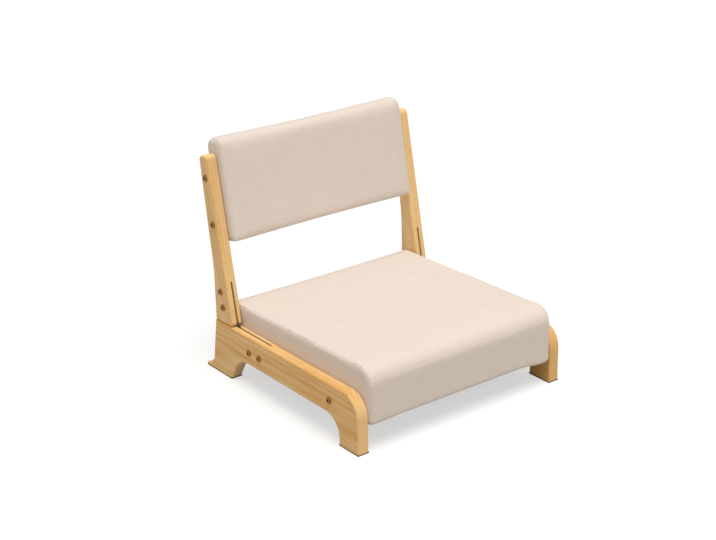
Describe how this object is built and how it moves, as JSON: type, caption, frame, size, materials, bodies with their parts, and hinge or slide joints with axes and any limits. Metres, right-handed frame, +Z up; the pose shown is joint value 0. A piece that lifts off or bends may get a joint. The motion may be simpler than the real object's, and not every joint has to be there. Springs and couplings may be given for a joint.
{
  "type": "folding floor chair",
  "caption": "Low folding floor chair: wooden side frames carry a padded seat, and a padded back between wooden uprights folds forward on hinges let into the wood.",
  "frame": {"origin": "centre of the bounding box at floor level, under the chair", "axes": "+Z up, the chair faces -Y, and +X runs across it to the right as seen from in front"},
  "size_m": [0.4468, 0.451, 0.4255],
  "materials": {
    "oiled_wood": "oiled, satin",
    "inner_wood": "raw",
    "woven_cover": "fine weave",
    "foam": "open foam",
    "dust_cloth": "matt felt",
    "bronze_screw": "bronze plated",
    "hinge_steel": "plain",
    "zinc_insert": "zinc",
    "rubber_pad": "matt felt"
  },
  "bodies": {
    "base": {"side_frame_left": "oiled_wood", "side_frame_right": "oiled_wood", "foot_pad_front_left": "rubber_pad", "foot_pad_front_right": "rubber_pad", "foot_pad_rear_left": "rubber_pad", "foot_pad_rear_right": "rubber_pad", "hinge_base_leaf_left": "hinge_steel", "hinge_base_leaf_right": "hinge_steel", "hinge_pin_left": "hinge_steel", "hinge_pin_right": "hinge_steel", "seat_front_bolts": "bronze_screw", "rail_hinge_bolts": "bronze_screw", "seat_front_inserts": "zinc_insert", "rail_hinge_inserts": "zinc_insert", "seat_side_batten_left": "inner_wood", "seat_side_batten_right": "inner_wood", "seat_front_batten": "inner_wood", "seat_rear_batten": "inner_wood", "seat_deck": "inner_wood", "seat_frame_dowels": "inner_wood", "seat_foam": "foam", "seat_cover": "woven_cover", "seat_dust_cover": "dust_cloth"},
    "backrest": {"upright_left": "oiled_wood", "upright_right": "oiled_wood", "hinge_back_leaf_left": "hinge_steel", "hinge_back_leaf_right": "hinge_steel", "upright_hinge_screws": "bronze_screw", "back_board_bolts": "bronze_screw", "back_board_inserts": "zinc_insert", "back_board": "inner_wood", "back_foam_front": "foam", "back_foam_rear": "foam", "back_cover": "woven_cover"}
  },
  "joints": [
    {"name": "back_fold", "type": "hinge", "parent": "base", "child": "backrest", "pos_m": [0, 0.13221, 0.1025], "axis": [1, 0, 0], "range_deg": [0, 78]}
  ]
}
